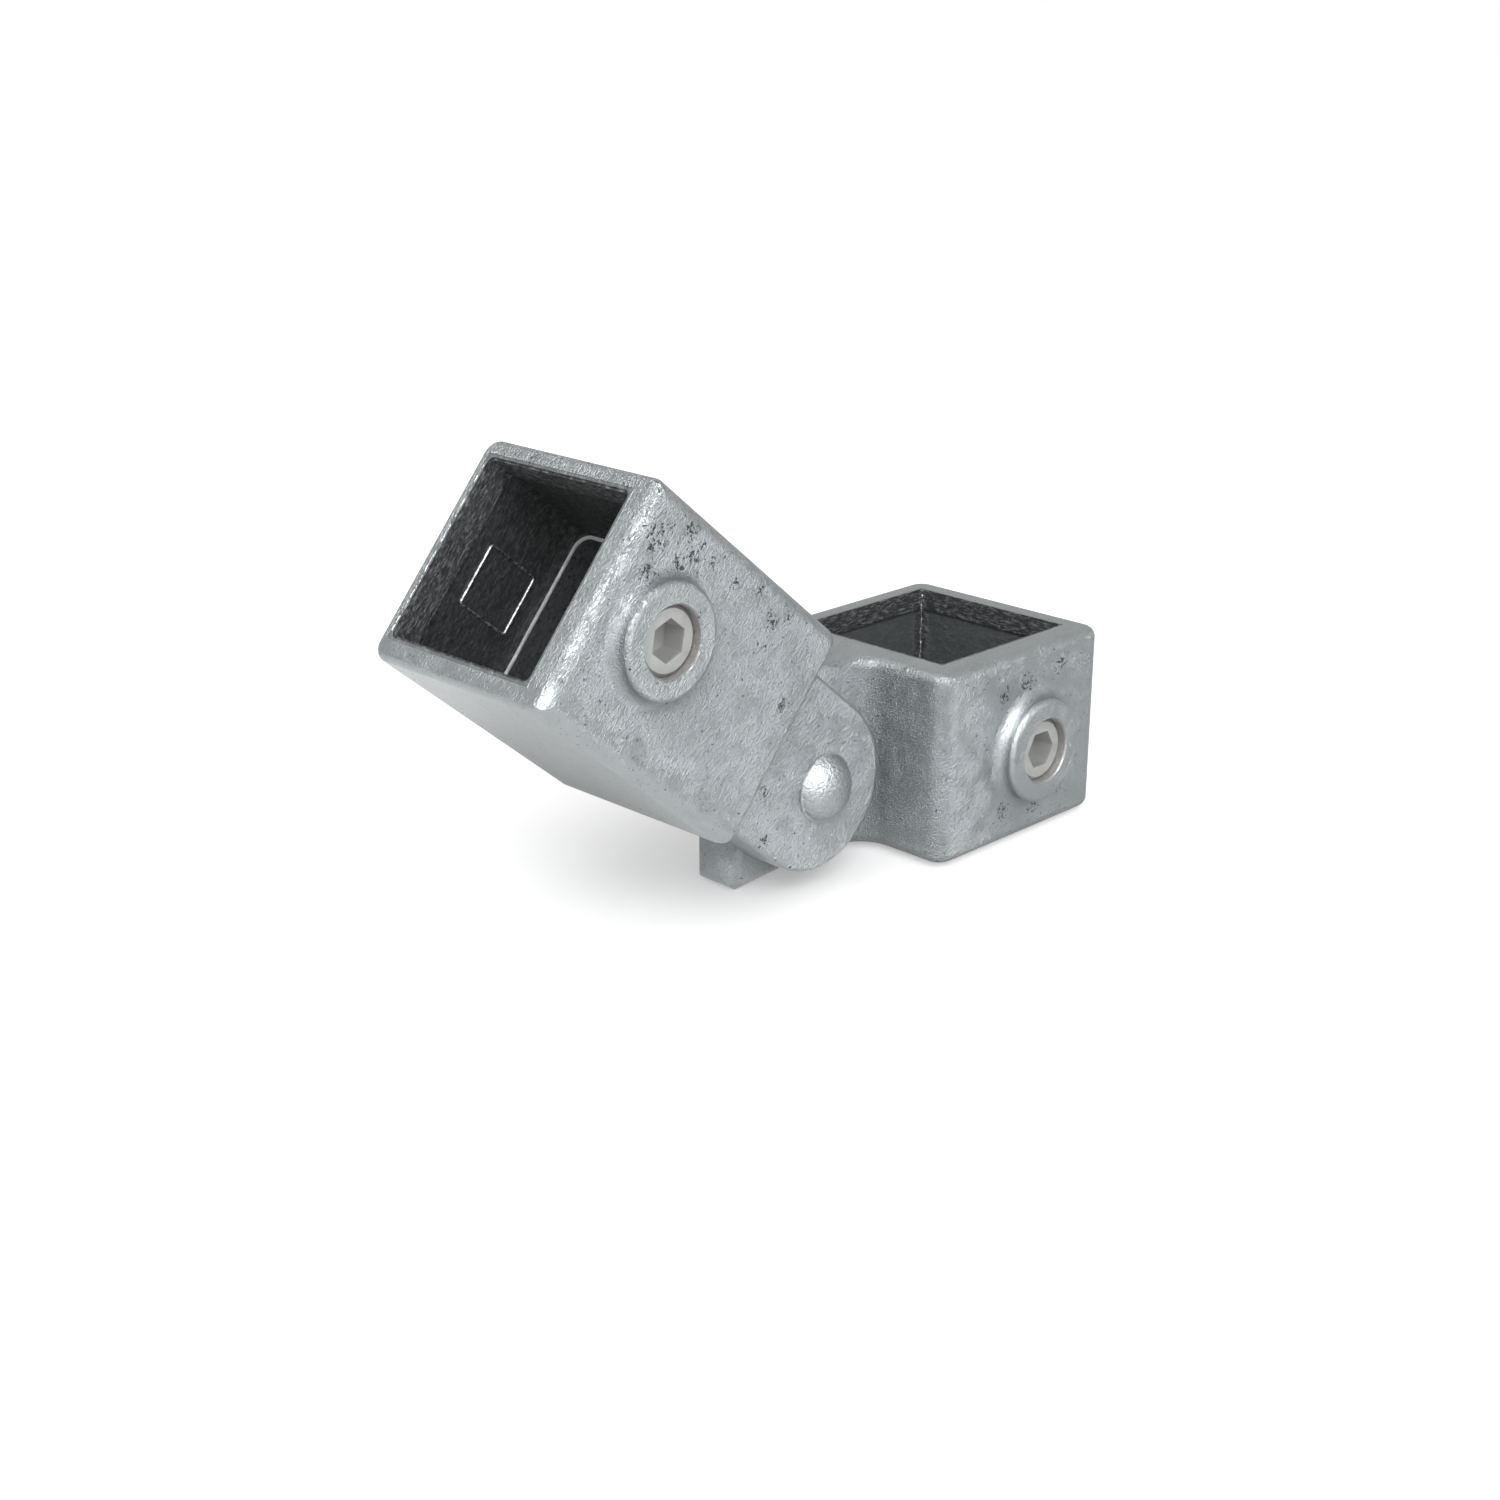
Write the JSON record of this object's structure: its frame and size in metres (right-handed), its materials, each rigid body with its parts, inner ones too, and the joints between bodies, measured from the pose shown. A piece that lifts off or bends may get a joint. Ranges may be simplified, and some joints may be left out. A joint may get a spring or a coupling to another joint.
{
  "type": "square tube hinge joint",
  "caption": "Cast hinge joint for square tube: an open sleeve and a tube-end socket, each clamped by a set screw, swinging about a rivet through tongue and ear.",
  "frame": {"origin": "the sleeve tube's axis in the plane of the sleeve's bottom face", "axes": "+Z along the sleeve's tube, +X from the hinge towards the sleeve, +Y from the set screws towards the back, along the rivet"},
  "size_m": [0.1603, 0.0686, 0.0989],
  "materials": {
    "galvanised_iron": "hot-dip galvanised, mottled satin",
    "galvanised_rivet": "hot-dip galvanised, satin",
    "screw_steel": "pale matte plating"
  },
  "bodies": {
    "sleeve": {"sleeve_casting": "galvanised_iron", "hinge_rivet": "galvanised_rivet"},
    "socket": {"socket_casting": "galvanised_iron"},
    "sleeve_screw": {"sleeve_set_screw": "screw_steel"},
    "socket_screw": {"socket_set_screw": "screw_steel"}
  },
  "joints": [
    {"name": "socket_swing", "type": "hinge", "parent": "sleeve", "child": "socket", "pos_m": [-0.053, -0.0103, 0.0225], "axis": [0, 1, 0], "range_deg": [-44, 38]},
    {"name": "sleeve_screw_travel", "type": "slide", "parent": "sleeve", "child": "sleeve_screw", "axis": [0, 1, 0], "range_m": [-0.004, 0.0026]},
    {"name": "socket_screw_travel", "type": "slide", "parent": "socket", "child": "socket_screw", "axis": [0, 1, 0], "range_m": [-0.004, 0.0016]}
  ]
}
